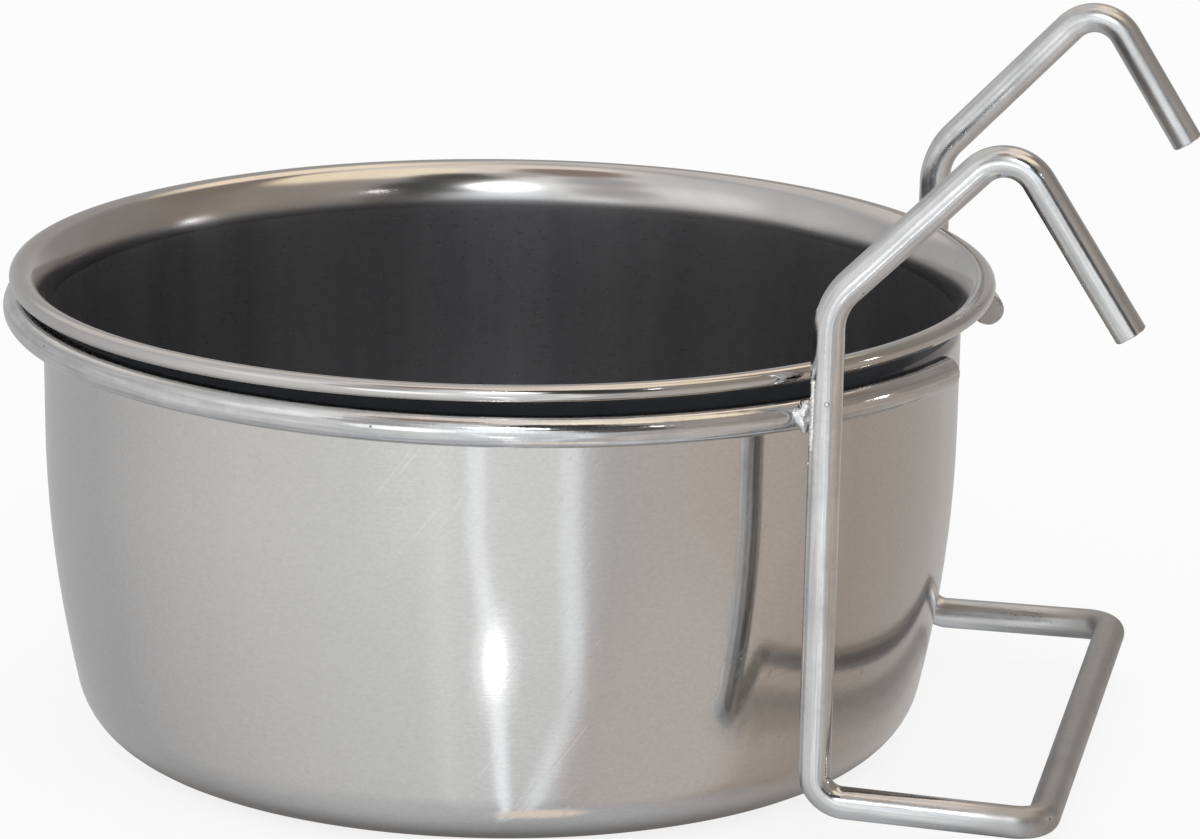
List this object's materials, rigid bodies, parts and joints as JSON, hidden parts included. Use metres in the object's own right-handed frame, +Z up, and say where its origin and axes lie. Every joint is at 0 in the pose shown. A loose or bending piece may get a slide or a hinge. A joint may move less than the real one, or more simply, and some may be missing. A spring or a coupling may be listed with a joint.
{
  "type": "cage mounted dog bowl",
  "caption": "Round steel feeding bowl that drops into an open wire ring, welded to a bent wire frame whose hooks hang it on a cage or crate wall.",
  "frame": {"origin": "centre of the bowl's flat base, where it rests on a table", "axes": "+Z up along the bowl's axis, +X towards the cage wall that the hooks hang on, +Y along that wall"},
  "size_m": [0.1446, 0.1228, 0.0871],
  "materials": {
    "polished_steel": "polished outside, fine satin inside",
    "drawn_wire": "drawn wire, lightly scratched",
    "weld_metal": "rough weld bead"
  },
  "bodies": {
    "holder": {"rim_ring": "drawn_wire", "hook_frame": "drawn_wire", "near_weld": "weld_metal", "far_weld": "weld_metal"},
    "bowl": {"bowl": "polished_steel"}
  },
  "joints": [
    {"name": "bowl_lift", "type": "slide", "parent": "holder", "child": "bowl", "axis": [0, 0, 1], "range_m": [0, 0.095]}
  ]
}
